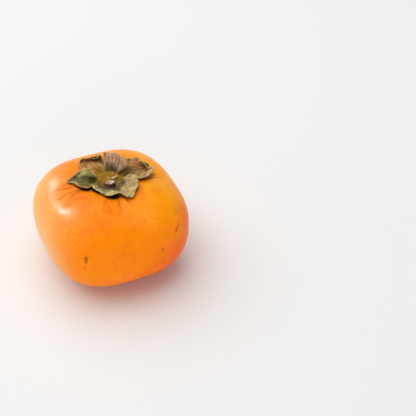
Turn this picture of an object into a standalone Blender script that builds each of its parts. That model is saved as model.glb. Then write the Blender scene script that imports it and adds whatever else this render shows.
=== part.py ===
"""A squarish kaki persimmon with its dry calyx, standing on its blossom end.

Metres, +Z up. The origin is on the surface that the fruit stands on, under the middle of the fruit.
"""

import math

import bmesh
import bpy
from mathutils import Matrix, Vector
from mathutils.bvhtree import BVHTree

MM = 0.001

# The fruit: a flattened ball with four soft corners, widest a little above its middle, and very
# slightly longer one way than the other.
MEAN_RADIUS = 38.4 * MM
TOP_HEIGHT = 23.4 * MM
BOTTOM_HEIGHT = 26.5 * MM
PROFILE_POWER = 2.48
CORNER_SHARE = 0.044
FLAT_SIDE = math.radians(17.3)
LONG_SHARE = 0.017
LONG_WAY = math.radians(123)
SKIN_CUTS = 16

# The hollow under the calyx, and the four grooves that run out of it to the flat sides.
BASIN_DEPTH = 4.6 * MM
BASIN_RADIUS = 12.5 * MM
GROOVE_DEPTH = 1.3 * MM
GROOVE_RADIUS = 19.0 * MM
GROOVE_REACH = 8.0 * MM

# The blossom end: a shallow dimple inside the flat ring that the fruit stands on.
DIMPLE_DEPTH = 2.0 * MM
DIMPLE_RADIUS = 4.5 * MM
SEAT_DEPTH = 0.6 * MM

# The calyx: a thin disc round the stem, and five dry sepals that start at its edge. Touching
# pieces keep a small gap.
GAP = 0.3 * MM
DISC_CENTRE = Vector((0.3, 2.5)) * MM
DISC_RADIUS = 5.5 * MM
DISC_THICKNESS = 0.8 * MM
DISC_CELLS = 8
SEPAL_THICKNESS = 0.6 * MM
SEPAL_ROWS = 8
SEPAL_COLUMNS = 14

# Each sepal is a fan. Its base runs along the disc's edge between two headings, and its rim goes
# through points (heading, reach from the disc's centre, lift above the skin). Headings are in
# degrees, counter-clockwise seen from above, and lengths are in millimetres.
SEPALS = {
    "sepal_front": dict(base=(-160, -8), rim=(
        (-162, 8.4, 1.0), (-142, 9.8, 1.8), (-112, 11.4, 1.6), (-90, 13.8, 1.8), (-72, 14.2, 2.6),
        (-57, 19.2, 1.0), (-31, 16.6, 2.2), (-16, 13.6, 2.4),
    )),
    "sepal_right": dict(base=(-1, 38), rim=(
        (-9, 14.0, 1.4), (-5, 18.6, 2.0), (7, 21.5, 3.0), (17, 22.8, 3.4), (28, 20.2, 3.0),
        (35, 18.2, 3.0), (41, 14.8, 3.0),
    )),
    "sepal_back": dict(base=(45, 94), rim=(
        (40, 9.2, 2.2), (46, 12.4, 3.8), (60, 12.2, 4.8), (72, 12.9, 5.0), (84, 13.8, 5.0),
        (93, 15.0, 4.0),
    )),
    "sepal_back_left": dict(base=(101, 150), rim=(
        (100, 14.2, 1.8), (104, 18.0, 3.0), (115, 19.2, 2.0), (127, 18.8, 1.4), (139, 18.4, 1.2),
        (151, 14.6, 0.8),
    )),
    "sepal_left": dict(base=(157, 194), rim=(
        (159, 10.6, 3.2), (166, 14.6, 2.6), (178, 18.6, 1.0), (190, 17.0, 1.0), (198, 14.6, 1.3),
        (204, 12.0, 1.5),
    )),
}

# The worn stub of the stem, with a flake of bark beside it.
STUB_FOOT = Vector((0.7, -1.1)) * MM
STUB_RADIUS = 2.6 * MM
STUB_HEIGHT = 2.4 * MM
STUB_LEAN = math.radians(-8)
FLAKE_SIZE = Vector((4.6, 1.1, 0.6)) * MM
FLAKE_PLACE = Vector((3.6, 3.6)) * MM
FLAKE_TURN = (math.radians(-8), math.radians(-6), math.radians(6))

# The dry rest of the style in the dimple.
STYLE_RADIUS = 1.1 * MM
STYLE_TOP = 1.0 * MM
STYLE_HEIGHT = 0.7 * MM

ORANGE = (0.90, 0.29, 0.02, 1.0)
OLIVE = (0.24, 0.20, 0.09, 1.0)
GOLDEN_OLIVE = (0.32, 0.23, 0.05, 1.0)
BARK_BROWN = (0.16, 0.08, 0.04, 1.0)
DRY_BLACK = (0.05, 0.04, 0.03, 1.0)


def clear_scene():
    for obj in list(bpy.data.objects):
        bpy.data.objects.remove(obj, do_unlink=True)


def make_material(name, colour, roughness):
    material = bpy.data.materials.new(name)
    material.use_nodes = True
    shader = material.node_tree.nodes["Principled BSDF"]
    shader.inputs["Base Color"].default_value = colour
    shader.inputs["Roughness"].default_value = roughness
    return material


def add_piece(obj, name, collection, material):
    """Names the object, gives it its material and moves it into the fruit's collection."""
    obj.name = name
    obj.data.name = name
    for held in list(obj.users_collection):
        held.objects.unlink(obj)
    collection.objects.link(obj)
    obj.data.materials.clear()
    obj.data.materials.append(material)
    return obj


def fruit_point(direction):
    """The point of the skin that lies in this direction from the middle of the widest level."""
    across = math.hypot(direction.x, direction.y)
    height = TOP_HEIGHT if direction.z > 0 else BOTTOM_HEIGHT
    power = PROFILE_POWER
    reach = ((across / MEAN_RADIUS) ** power + (abs(direction.z) / height) ** power) ** (-1 / power)
    heading = math.atan2(direction.y, direction.x)
    corners = math.cos(4.0 * (heading - FLAT_SIDE))
    reach *= 1.0 - CORNER_SHARE * corners * across**1.5
    reach *= 1.0 + LONG_SHARE * math.cos(2.0 * (heading - LONG_WAY)) * across
    point = direction * reach
    radius = math.hypot(point.x, point.y)
    if direction.z > 0:
        groove = (0.5 + 0.5 * corners) ** 3
        ring = math.exp(-(((radius - GROOVE_RADIUS) / GROOVE_REACH) ** 2))
        point.z -= BASIN_DEPTH * math.exp(-((radius / BASIN_RADIUS) ** 2))
        point.z -= GROOVE_DEPTH * groove * ring
    else:
        point.z += DIMPLE_DEPTH * math.exp(-((radius / DIMPLE_RADIUS) ** 2))
        point.z = max(point.z, SEAT_DEPTH - BOTTOM_HEIGHT)
    point.z += BOTTOM_HEIGHT - SEAT_DEPTH
    return point


def make_fruit(collection, material):
    """A cube cut into a grid and blown up into the fruit, so that it has no poles."""
    bpy.ops.mesh.primitive_cube_add(size=2.0)
    fruit = add_piece(bpy.context.object, "fruit", collection, material)
    mesh = bmesh.new()
    mesh.from_mesh(fruit.data)
    bmesh.ops.subdivide_edges(mesh, edges=mesh.edges[:], cuts=SKIN_CUTS, use_grid_fill=True)
    for vertex in mesh.verts:
        # Even angles across each side of the cube give even faces on the fruit.
        spread = Vector([math.tan(0.25 * math.pi * side) for side in vertex.co])
        vertex.co = fruit_point(spread.normalized())
    mesh.to_mesh(fruit.data)
    mesh.free()
    fruit.data.shade_smooth()
    return fruit


class Skin:
    """Finds how high the fruit's skin is at a place, by dropping a ray on it."""

    def __init__(self, fruit):
        mesh = bmesh.new()
        mesh.from_mesh(fruit.data)
        self.tree = BVHTree.FromBMesh(mesh)
        mesh.free()

    def height(self, place):
        return self.tree.ray_cast(Vector((place.x, place.y, 1.0)), Vector((0, 0, -1)))[0].z

    def height_under(self, place, radius):
        """The highest skin under a round foot at this place."""
        ring = [math.radians(angle) for angle in range(0, 360, 30)]
        round_it = [place + Vector((math.cos(a), math.sin(a))) * radius for a in ring]
        return max(self.height(p) for p in round_it + [place])


def add_sheet(name, columns, rows, thickness, collection, material):
    """A flat grid from -1 to 1 both ways, with its thickness below it."""
    bpy.ops.mesh.primitive_grid_add(x_subdivisions=columns, y_subdivisions=rows, size=2.0)
    sheet = add_piece(bpy.context.object, name, collection, material)
    shell = sheet.modifiers.new("thickness", "SOLIDIFY")
    shell.thickness = thickness
    shell.offset = -1.0
    sheet.data.shade_smooth()
    return sheet


def make_disc(skin, collection, material):
    """The fused middle of the calyx: a square grid rounded into a disc and laid in the hollow."""
    disc = add_sheet("calyx_disc", DISC_CELLS, DISC_CELLS, DISC_THICKNESS, collection, material)
    for vertex in disc.data.vertices:
        across, along = vertex.co.x, vertex.co.y
        rounded = Vector((across * math.sqrt(1 - along**2 / 2), along * math.sqrt(1 - across**2 / 2)))
        place = DISC_CENTRE + rounded * DISC_RADIUS
        vertex.co = (place.x, place.y, skin.height(place) + GAP + DISC_THICKNESS)
    return disc


def through(points, share):
    """The point at this share of the way along a smooth curve through the points."""
    spans = len(points) - 1
    index = min(int(share * spans), spans - 1)
    t = share * spans - index
    b, c = Vector(points[index]), Vector(points[index + 1])
    a = Vector(points[index - 1]) if index > 0 else 2 * b - c
    d = Vector(points[index + 2]) if index < spans - 1 else 2 * c - b
    return b + 0.5 * t * ((c - a) + t * ((2 * a - 5 * b + 4 * c - d) + t * (3 * (b - c) + d - a)))


def sepal_point(sepal, across, along, skin):
    """A point of a sepal's top surface: across its rim from 0 to 1, and along it from base to tip."""
    heading, reach, lift = through(sepal["rim"], across)
    base_from, base_to = sepal["base"]
    base_heading = base_from + (base_to - base_from) * across
    turn = math.radians(base_heading + (heading - base_heading) * along)
    base_reach = DISC_RADIUS + GAP
    radius = base_reach + (reach * MM - base_reach) * along
    place = DISC_CENTRE + Vector((math.cos(turn), math.sin(turn))) * radius
    rise = lift * MM * along**1.5
    return Vector((place.x, place.y, skin.height(place) + GAP + 1.25 * SEPAL_THICKNESS + rise))


def make_sepal(name, sepal, skin, collection, material):
    """A dry sepal: a grid bent into a fan that starts at the disc and lifts off the skin."""
    obj = add_sheet(name, SEPAL_COLUMNS, SEPAL_ROWS, SEPAL_THICKNESS, collection, material)
    for vertex in obj.data.vertices:
        # The rim's points run counter-clockwise, so the grid's +X side is the first of them.
        across, along = 0.5 * (1.0 - vertex.co.x), 0.5 * (1.0 + vertex.co.y)
        vertex.co = sepal_point(sepal, across, along, skin)
    return obj


def turned(name, profile, steps, collection, material):
    """A closed shape turned about Z from a profile of (radius, height), top to bottom."""
    mesh = bpy.data.meshes.new(name)
    edges = [(i, i + 1) for i in range(len(profile) - 1)]
    mesh.from_pydata([(radius, 0.0, height) for radius, height in profile], edges, [])
    obj = bpy.data.objects.new(name, mesh)
    add_piece(obj, name, collection, material)
    screw = obj.modifiers.new("turn", "SCREW")
    screw.steps = steps
    screw.render_steps = steps
    screw.use_merge_vertices = True
    screw.merge_threshold = 1e-5
    return obj


def make_stub(skin, collection, material):
    """The short rest of the stem: a flared foot, a waist and a worn, slightly hollow end."""
    r, h = STUB_RADIUS, STUB_HEIGHT
    profile = [(0.0, 0.88 * h), (0.45 * r, 0.92 * h), (0.75 * r, h), (0.92 * r, 0.94 * h)]
    profile += [(0.98 * r, 0.8 * h), (0.88 * r, 0.5 * h), (0.92 * r, 0.2 * h), (r, 0.0), (0.0, 0.0)]
    stub = turned("stem_stub", profile, 28, collection, material)
    foot = skin.height_under(STUB_FOOT, r) + GAP + DISC_THICKNESS + GAP
    stub.location = (STUB_FOOT.x, STUB_FOOT.y, foot + r * math.sin(abs(STUB_LEAN)))
    stub.rotation_euler = (STUB_LEAN, 0.0, 0.0)
    return stub


def make_flake(skin, collection, material):
    """A loose flake of bark that lies on the disc behind the stub."""
    bpy.ops.mesh.primitive_cube_add(size=1.0)
    flake = add_piece(bpy.context.object, "bark_flake", collection, material)
    flake.data.transform(Matrix.Diagonal((*FLAKE_SIZE, 1.0)))
    soft = flake.modifiers.new("soft_edges", "BEVEL")
    soft.width = 0.2 * MM
    soft.segments = 2
    foot = skin.height_under(FLAKE_PLACE, 0.5 * FLAKE_SIZE.x) + GAP + DISC_THICKNESS + GAP
    flake.location = (FLAKE_PLACE.x, FLAKE_PLACE.y, foot + FLAKE_SIZE.z)
    flake.rotation_euler = FLAKE_TURN
    return flake


def make_style(collection, material):
    """The dry rest of the style, inside the dimple and clear of the surface below."""
    r, h, top = STYLE_RADIUS, STYLE_HEIGHT, STYLE_TOP
    profile = [(0.0, top), (0.8 * r, top), (r, top - 0.3 * h), (0.6 * r, top - h), (0.0, top - h)]
    return turned("style_remnant", profile, 20, collection, material)


def main():
    clear_scene()
    collection = bpy.data.collections.new("persimmon")
    bpy.context.scene.collection.children.link(collection)
    skin_finish = make_material("persimmon_skin", ORANGE, 0.35)
    sepal_finish = make_material("dry_sepal", OLIVE, 0.75)
    disc_finish = make_material("calyx_middle", GOLDEN_OLIVE, 0.7)
    bark_finish = make_material("stem_bark", BARK_BROWN, 0.6)
    style_finish = make_material("dry_style", DRY_BLACK, 0.8)
    skin = Skin(make_fruit(collection, skin_finish))
    make_disc(skin, collection, disc_finish)
    for name, sepal in SEPALS.items():
        make_sepal(name, sepal, skin, collection, sepal_finish)
    make_stub(skin, collection, bark_finish)
    make_flake(skin, collection, bark_finish)
    make_style(collection, style_finish)


main()
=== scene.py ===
import functools
import math

import bmesh
import bpy
import numpy as np
from mathutils import Matrix, Vector, noise
from mathutils.bvhtree import BVHTree


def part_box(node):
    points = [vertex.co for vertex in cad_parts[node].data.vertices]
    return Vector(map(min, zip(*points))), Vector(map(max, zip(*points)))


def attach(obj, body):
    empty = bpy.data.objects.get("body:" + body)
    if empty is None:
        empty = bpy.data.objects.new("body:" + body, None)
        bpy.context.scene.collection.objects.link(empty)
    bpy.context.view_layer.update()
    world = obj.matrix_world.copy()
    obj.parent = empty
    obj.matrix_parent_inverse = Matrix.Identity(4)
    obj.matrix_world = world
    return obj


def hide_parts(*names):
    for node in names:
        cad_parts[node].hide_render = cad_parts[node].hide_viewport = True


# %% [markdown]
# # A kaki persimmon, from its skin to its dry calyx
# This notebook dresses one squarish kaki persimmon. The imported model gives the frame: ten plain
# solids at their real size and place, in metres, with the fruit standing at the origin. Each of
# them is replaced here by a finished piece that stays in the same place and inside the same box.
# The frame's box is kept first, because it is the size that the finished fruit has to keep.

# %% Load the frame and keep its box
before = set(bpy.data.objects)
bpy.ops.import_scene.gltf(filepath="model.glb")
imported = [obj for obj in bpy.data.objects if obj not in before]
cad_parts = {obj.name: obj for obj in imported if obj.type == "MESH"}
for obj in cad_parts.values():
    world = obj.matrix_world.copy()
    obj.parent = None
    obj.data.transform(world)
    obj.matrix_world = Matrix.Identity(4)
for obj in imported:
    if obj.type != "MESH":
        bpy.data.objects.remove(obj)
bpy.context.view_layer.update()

MM = 0.001


def add_object(name, data):
    """A new object in the scene, at the origin."""
    obj = bpy.data.objects.new(name, data)
    bpy.context.scene.collection.objects.link(obj)
    return obj


# %% [markdown]
# ## Stage, light and camera
# The fruit stands on a plain pale floor that is wide enough to fill the view. The light is that
# of a white studio: the sky is bright near the horizon, as white walls are, and dimmer overhead. A
# large panel above the fruit's far left shoulder gives most of the light, and throws the soft
# shadow towards the front right. Three smaller lights shine only in reflections and draw the
# highlight on that shoulder. A wide low panel lights the near side and isn't reflected.
#
# A camera's direction is built here from three unit vectors. Its backward axis points from the
# fruit to the camera, and its up axis stays in the upright plane, so the camera has no roll.

# %% A plain floor
FLOOR_HALF = 3.0
FLOOR_PAINT = (0.83, 0.828, 0.82, 1.0)
floor_mesh = bpy.data.meshes.new("floor")
floor_corners = [(-FLOOR_HALF, -FLOOR_HALF, 0), (FLOOR_HALF, -FLOOR_HALF, 0)]
floor_corners += [(FLOOR_HALF, FLOOR_HALF, 0), (-FLOOR_HALF, FLOOR_HALF, 0)]
floor_mesh.from_pydata(floor_corners, [], [(0, 1, 2, 3)])
floor = add_object("floor", floor_mesh)
floor_finish = bpy.data.materials.new("floor_paper")
floor_finish.use_nodes = True
floor_shader = floor_finish.node_tree.nodes["Principled BSDF"]
floor_shader.inputs["Base Color"].default_value = FLOOR_PAINT
floor_shader.inputs["Roughness"].default_value = 0.85
floor_shader.inputs["Specular IOR Level"].default_value = 0.2
floor_mesh.materials.append(floor_finish)
print("floor is", 2 * FLOOR_HALF, "m wide")

# %% A sky that is bright near the horizon and dim overhead
SKY_RISE = {"From Min": 0.12, "From Max": 0.42, "To Min": 0.85, "To Max": 0.27}
world = bpy.data.worlds.new("white_studio")
world.use_nodes = True
sky = world.node_tree
sky_way = sky.nodes.new("ShaderNodeSeparateXYZ")
sky.links.new(sky.nodes.new("ShaderNodeTexCoord").outputs["Generated"], sky_way.inputs[0])
sky_rise = sky.nodes.new("ShaderNodeMapRange")
sky_rise.interpolation_type = "SMOOTHSTEP"
for socket_name, value in SKY_RISE.items():
    sky_rise.inputs[socket_name].default_value = value
sky.links.new(sky_way.outputs["Z"], sky_rise.inputs["Value"])
sky.links.new(sky_rise.outputs["Result"], sky.nodes["Background"].inputs["Strength"])
sky.nodes["Background"].inputs["Color"].default_value = (1.0, 1.0, 1.0, 1.0)
bpy.context.scene.world = world
print("sky strength from", SKY_RISE["To Min"], "at the horizon to", SKY_RISE["To Max"], "overhead")

# %% The lights
FRUIT_MIDDLE = Vector((0.0, 0.0, 0.027))
# Each light has its heading and height in degrees, its distance and size in metres, its power in
# watts, and the kind of ray that doesn't see it.
LIGHTS = {
    "overhead_panel": (135, 69, 1.3, (2.0, 2.0), 23.0, None),
    "softbox_left_behind": (144, 46, 1.1, (0.35, 0.50), 1.2, "visible_diffuse"),
    "lamp_left_behind": (136, 30, 1.1, (0.12, 0.16), 12.0, "visible_diffuse"),
    "panel_left": (172, 22, 1.2, (0.8, 0.8), 2.6, "visible_diffuse"),
    "front_panel": (-85, 11, 1.3, (1.8, 0.4), 5.6, "visible_glossy"),
}
for light_name, (heading, height, distance, size, power, unseen) in LIGHTS.items():
    light = bpy.data.lights.new(light_name, "AREA")
    light.shape = "RECTANGLE"
    light.size, light.size_y = size
    light.energy = power
    panel = add_object(light_name, light)
    around, up = math.radians(heading), math.radians(height)
    away = Vector((math.cos(around) * math.cos(up), math.sin(around) * math.cos(up), math.sin(up)))
    panel.location = FRUIT_MIDDLE + away * distance
    panel.rotation_euler = away.to_track_quat("Z", "Y").to_euler()
    if unseen:
        setattr(panel, unseen, False)
print("lights:", [light.name for light in bpy.data.lights])

# %% The camera
CAMERA_HEIGHT = math.radians(42)
CAMERA_DISTANCE = 0.6
VIEW_HALF_WIDTH = 0.104
AIM_RIGHT, AIM_UP = 0.04876, -0.0009
backward = Vector((0.0, -math.cos(CAMERA_HEIGHT), math.sin(CAMERA_HEIGHT)))
upward = Vector((0.0, math.sin(CAMERA_HEIGHT), math.cos(CAMERA_HEIGHT)))
camera_data = bpy.data.cameras.new("camera")
camera_data.sensor_width = 36.0
camera_data.lens = 0.5 * camera_data.sensor_width * CAMERA_DISTANCE / VIEW_HALF_WIDTH
camera_data.clip_start = 0.01
camera = add_object("camera", camera_data)
camera.location = FRUIT_MIDDLE + backward * CAMERA_DISTANCE
target = FRUIT_MIDDLE + Vector((1.0, 0.0, 0.0)) * AIM_RIGHT + upward * AIM_UP
forward = (target - camera.location).normalized()
rightward = forward.cross(Vector((0.0, 0.0, 1.0))).normalized()
camera_axes = Matrix((rightward, rightward.cross(forward), -forward)).transposed()
camera.rotation_euler = camera_axes.to_euler()
bpy.context.scene.camera = camera
bpy.context.scene.view_settings.view_transform = "Standard"
print("lens:", round(camera_data.lens, 1), "mm")

# %% [markdown]
# ## Writing node trees as sums
# Both the fruit's shape and its finishes follow formulas, and a formula made of Math nodes is
# long to build by hand. `Flow` wraps one output of a node, and its operators add the Math nodes,
# so `a * b + 1` in the script is a multiply node and an add node in the tree. It works in a
# geometry tree and in a shader tree, because both use the same Math node.

# %% Flow: a number on its way through a node tree
def feed(tree, slot, value):
    """Links a Flow to a socket, or sets the socket's own value."""
    if isinstance(value, Flow):
        tree.links.new(value.socket, slot)
    else:
        slot.default_value = value


class Flow:
    """One output of a node, with arithmetic that adds Math nodes to its tree."""

    def __init__(self, tree, socket):
        self.tree = tree
        self.socket = socket

    def math(self, operation, *others):
        node = self.tree.nodes.new("ShaderNodeMath")
        node.operation = operation
        for slot, value in zip(node.inputs, (self, *others)):
            feed(self.tree, slot, value)
        return Flow(self.tree, node.outputs[0])

    def __add__(self, other):
        return self.math("ADD", other)

    def __sub__(self, other):
        return self.math("SUBTRACT", other)

    def __mul__(self, other):
        return self.math("MULTIPLY", other)

    def __truediv__(self, other):
        return self.math("DIVIDE", other)

    def __pow__(self, other):
        return self.math("POWER", other)

    def __neg__(self):
        return self.math("MULTIPLY", -1.0)

    def bell(self, middle, width):
        """1 where this is at the middle, falling softly to 0 over the width on both sides."""
        away = (self - middle) / width
        return (-(away * away)).math("EXPONENT")

    def step(self, low, high):
        """0 below low, 1 above high, and a smooth rise between."""
        node = self.tree.nodes.new("ShaderNodeMapRange")
        node.interpolation_type = "SMOOTHSTEP"
        for name, value in (("Value", self), ("From Min", low), ("From Max", high)):
            feed(self.tree, node.inputs[name], value)
        return Flow(self.tree, node.outputs["Result"])


def add_node(tree, kind, values=None, **settings):
    """Adds a node with its settings, and sets or links the sockets named in values."""
    node = tree.nodes.new(kind)
    for name, value in settings.items():
        setattr(node, name, value)
    for name, value in (values or {}).items():
        feed(tree, node.inputs[name], value)
    return node


def out(node, name=0):
    """One output of a node as a Flow."""
    return Flow(node.id_data, node.outputs[name])


def split(tree, vector):
    """The three parts of a vector."""
    node = add_node(tree, "ShaderNodeSeparateXYZ", {"Vector": vector})
    return out(node, "X"), out(node, "Y"), out(node, "Z")


def join(tree, x, y, z):
    """A vector made of three parts."""
    return out(add_node(tree, "ShaderNodeCombineXYZ", {"X": x, "Y": y, "Z": z}))


def vectors(tree, operation, first, second, output=0):
    """A Vector Math node on two vectors, or on a vector and a factor to scale it by."""
    node = add_node(tree, "ShaderNodeVectorMath", operation=operation)
    feed(tree, node.inputs[0], first)
    feed(tree, node.inputs["Scale" if operation == "SCALE" else 1], second)
    return out(node, output)


def noise_at(tree, place, scale, detail=2.0, roughness=0.5):
    """The value of a Noise texture at a place."""
    values = {"Vector": place, "Scale": scale, "Detail": detail, "Roughness": roughness}
    return out(add_node(tree, "ShaderNodeTexNoise", values))


def new_group(name, kind, inputs, outputs):
    """A node group with named inputs (name: type, default) and outputs (name: type)."""
    tree = bpy.data.node_groups.new(name, kind)
    for socket_name, (socket_type, default) in inputs.items():
        socket = tree.interface.new_socket(socket_name, in_out="INPUT", socket_type=socket_type)
        if default is not None:
            socket.default_value = default
    for socket_name, socket_type in outputs.items():
        tree.interface.new_socket(socket_name, in_out="OUTPUT", socket_type=socket_type)
    source = tree.nodes.new("NodeGroupInput")
    given = {socket_name: Flow(tree, source.outputs[socket_name]) for socket_name in inputs}
    return tree, given, tree.nodes.new("NodeGroupOutput")


def set_inputs(modifier, values):
    """Sets a Geometry Nodes modifier's inputs, found by the identifiers of their sockets."""
    for item in modifier.node_group.interface.items_tree:
        if item.item_type == "SOCKET" and item.in_out == "INPUT" and item.name in values:
            modifier[item.identifier] = values[item.name]


def freeze(obj):
    """Turns an object with live modifiers into a plain mesh."""
    graph = bpy.context.evaluated_depsgraph_get()
    evaluated = obj.evaluated_get(graph)
    mesh = bpy.data.meshes.new_from_object(evaluated, preserve_all_data_layers=True, depsgraph=graph)
    obj.modifiers.clear()
    obj.data = mesh
    mesh.name = obj.name
    return obj


FLOAT, VECTOR, INTEGER = "NodeSocketFloat", "NodeSocketVector", "NodeSocketInt"
print("node helpers are ready")

# %% [markdown]
# ## The fruit: one rule, one Geometry Nodes tree
# The fruit is a flattened ball with four soft corners. A sphere primitive would crowd its faces
# at two poles, right where the calyx sits, so the tree starts from a cube cut into a fine grid.
# Each point is pushed to a direction from the middle, and the direction gives its distance:
#
# - a superellipse in the upright plane, with one height above the widest level and one below it;
# - a wave of four round the fruit for its corners, and a weak wave of two for its longer way;
# - a round hollow under the calyx and four grooves that run out of it;
# - a dimple and a small flat seat at the blossom end.
#
# Slow noise makes the sides a little uneven, and finer noise that changes only with the heading
# makes the puckers that run out from under the calyx. The puckers are also stored on the points,
# so that the finish can darken their valleys with painted shade.

# %% Sizes of the fruit
# Lengths are in metres and angles in radians; a share is a part of the distance from the middle.
SKIN = {
    "Mean Radius": 38.4 * MM, "Top Height": 23.4 * MM, "Bottom Height": 26.5 * MM, "Profile Power": 2.48,
    "Corner Share": 0.044, "Flat Side": math.radians(17.3),
    "Long Share": 0.017, "Long Way": math.radians(123),
    "Basin Depth": 4.6 * MM, "Basin Radius": 12.5 * MM,
    "Groove Depth": 1.3 * MM, "Groove Radius": 19.0 * MM, "Groove Reach": 8.0 * MM,
    "Dimple Depth": 2.0 * MM, "Dimple Radius": 4.5 * MM, "Seat Depth": 0.6 * MM,
    "Lump Share": 0.010, "Pucker Depth": 0.30 * MM, "Pucker Radius": 17.0 * MM, "Pucker Reach": 7.0 * MM,
}
GRID_POINTS = 121


# %% The tree that blows the cube up into the fruit
def fruit_tree(material):
    inputs = {name: (FLOAT, value) for name, value in SKIN.items()}
    inputs["Grid Points"] = (INTEGER, 33)
    tree, given, result = new_group("kaki_shape", "GeometryNodeTree", inputs, {"Fruit": "NodeSocketGeometry"})
    points = given["Grid Points"]
    cube = add_node(tree, "GeometryNodeMeshCube", {f"Vertices {axis}": points for axis in "XYZ"})
    cube.inputs["Size"].default_value = (2.0, 2.0, 2.0)
    sides = split(tree, out(tree.nodes.new("GeometryNodeInputPosition")))
    x, y, z = [(side * (0.25 * math.pi)).math("TANGENT") for side in sides]
    length = (x * x + y * y + z * z).math("SQRT")
    x, y, z = x / length, y / length, z / length
    across = (x * x + y * y).math("SQRT")
    upper = z.math("GREATER_THAN", 0.0)
    height = given["Bottom Height"] + (given["Top Height"] - given["Bottom Height"]) * upper
    power = given["Profile Power"]
    reach = (across / given["Mean Radius"]) ** power + (z.math("ABSOLUTE") / height) ** power
    reach = reach ** (power.math("POWER", -1.0) * -1.0)
    heading = y.math("ARCTAN2", x)
    corners = ((heading - given["Flat Side"]) * 4.0).math("COSINE")
    longer = ((heading - given["Long Way"]) * 2.0).math("COSINE")
    reach = reach * (-(given["Corner Share"] * corners * across**1.5) + 1.0)
    reach = reach * (given["Long Share"] * longer * across + 1.0)
    lumps = noise_at(tree, join(tree, x, y, z), 2.2, 1.5)
    reach = reach * ((lumps - 0.5) * given["Lump Share"] + 1.0)
    radius = reach * across
    groove = (corners * 0.5 + 0.5) ** 3.0 * radius.bell(given["Groove Radius"], given["Groove Reach"])
    hollow = given["Basin Depth"] * radius.bell(0.0, given["Basin Radius"]) + given["Groove Depth"] * groove
    round_fold = join(tree, heading.math("COSINE"), heading.math("SINE"), radius * 18.0)
    folds = noise_at(tree, round_fold, 3.6)
    valley = ((folds - 0.5).math("ABSOLUTE") * -9.0 + 1.0).math("MAXIMUM", 0.0)
    pucker = valley * radius.bell(given["Pucker Radius"], given["Pucker Reach"]) * upper
    dimple = given["Dimple Depth"] * radius.bell(0.0, given["Dimple Radius"])
    top = z * reach - hollow - pucker * given["Pucker Depth"]
    bottom = (z * reach + dimple).math("SMOOTH_MAX", given["Seat Depth"] - given["Bottom Height"], 0.0004)
    level = bottom + (top - bottom) * upper + given["Bottom Height"] - given["Seat Depth"]
    values = {"Geometry": out(cube, "Mesh"), "Name": "pucker", "Value": pucker}
    stored = add_node(tree, "GeometryNodeStoreNamedAttribute", values)
    placed = add_node(tree, "GeometryNodeSetPosition", {"Geometry": out(stored)})
    feed(tree, placed.inputs["Position"], join(tree, x * reach, y * reach, level.math("MAXIMUM", 0.0)))
    smooth = add_node(tree, "GeometryNodeSetShadeSmooth", {"Geometry": out(placed)})
    realized = add_node(tree, "GeometryNodeRealizeInstances", {"Geometry": out(smooth)})
    dressed = add_node(tree, "GeometryNodeSetMaterial", {"Geometry": out(realized), "Material": material})
    tree.links.new(dressed.outputs[0], result.inputs["Fruit"])
    return tree


# %% [markdown]
# ## Finishes that several pieces share
# Fruit skin, dry sepals and bark all need blotches at more than one size, so that is one shader
# node group. A second group draws a thin dark line on the skin between two places, for the cracks
# that run out from under the calyx, and for the small scabs. Groups give out only masks; the
# Principled shader stays in each material, where its plain values can be read.

# %% Blotches: two sizes of noise in one mask
def blotch_group():
    inputs = {"Vector": (VECTOR, None), "Coarse": (FLOAT, 60.0), "Fine": (FLOAT, 400.0),
              "Fine Share": (FLOAT, 0.4)}
    tree, given, result = new_group("blotches", "ShaderNodeTree", inputs, {"Mask": FLOAT})
    coarse = noise_at(tree, given["Vector"], given["Coarse"], 2.0)
    fine = noise_at(tree, given["Vector"], given["Fine"], 3.0)
    share = given["Fine Share"]
    feed(tree, result.inputs["Mask"], (coarse * (-share + 1.0) + fine * share).step(0.34, 0.66))
    return tree


# %% A line on the skin: a crack or a scab
def line_group():
    inputs = {"Vector": (VECTOR, None), "From": (VECTOR, None), "To": (VECTOR, None),
              "From Width": (FLOAT, 0.0003), "To Width": (FLOAT, 0.0003)}
    tree, given, result = new_group("skin_line", "ShaderNodeTree", inputs, {"Mask": FLOAT})
    start = given["From"]
    along = vectors(tree, "SUBTRACT", given["To"], start)
    offset = vectors(tree, "SUBTRACT", given["Vector"], start)
    length_squared = vectors(tree, "DOT_PRODUCT", along, along, "Value")
    share = vectors(tree, "DOT_PRODUCT", offset, along, "Value") / length_squared
    share = share.math("MAXIMUM", 0.0).math("MINIMUM", 1.0)
    away = vectors(tree, "DISTANCE", offset, vectors(tree, "SCALE", along, share), "Value")
    width = given["From Width"] * (-share + 1.0) + given["To Width"] * share
    feed(tree, result.inputs["Mask"], (away / width).step(1.7, 0.3))
    return tree


BLOTCHES, SKIN_LINE = blotch_group(), line_group()
print("shared groups:", BLOTCHES.name, "and", SKIN_LINE.name)


# %% Small helpers for materials
def new_finish(name, **constants):
    """A material with its Principled shader, whose plain values are set on the shader itself."""
    material = bpy.data.materials.new(name)
    material.use_nodes = True
    shader = material.node_tree.nodes["Principled BSDF"]
    for socket_name, value in constants.items():
        shader.inputs[socket_name.replace("_", " ")].default_value = value
    return material, material.node_tree, shader


def use_group(tree, group, values):
    """Places a node group and gives back its first output."""
    node = tree.nodes.new("ShaderNodeGroup")
    node.node_tree = group
    for name, value in values.items():
        feed(tree, node.inputs[name], value)
    return out(node)


def blotches(tree, place, coarse, fine, fine_share):
    """A mask of blotches at two sizes."""
    values = {"Vector": place, "Coarse": coarse, "Fine": fine, "Fine Share": fine_share}
    return use_group(tree, BLOTCHES, values)


def object_place(tree):
    """The place on the finished object, in metres."""
    return out(tree.nodes.new("ShaderNodeTexCoord"), "Object")


# A Mix node has sockets of the same name for each type of value; these are its colour sockets.
MIX_FIRST, MIX_SECOND, MIX_RESULT = 6, 7, 2


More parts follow.
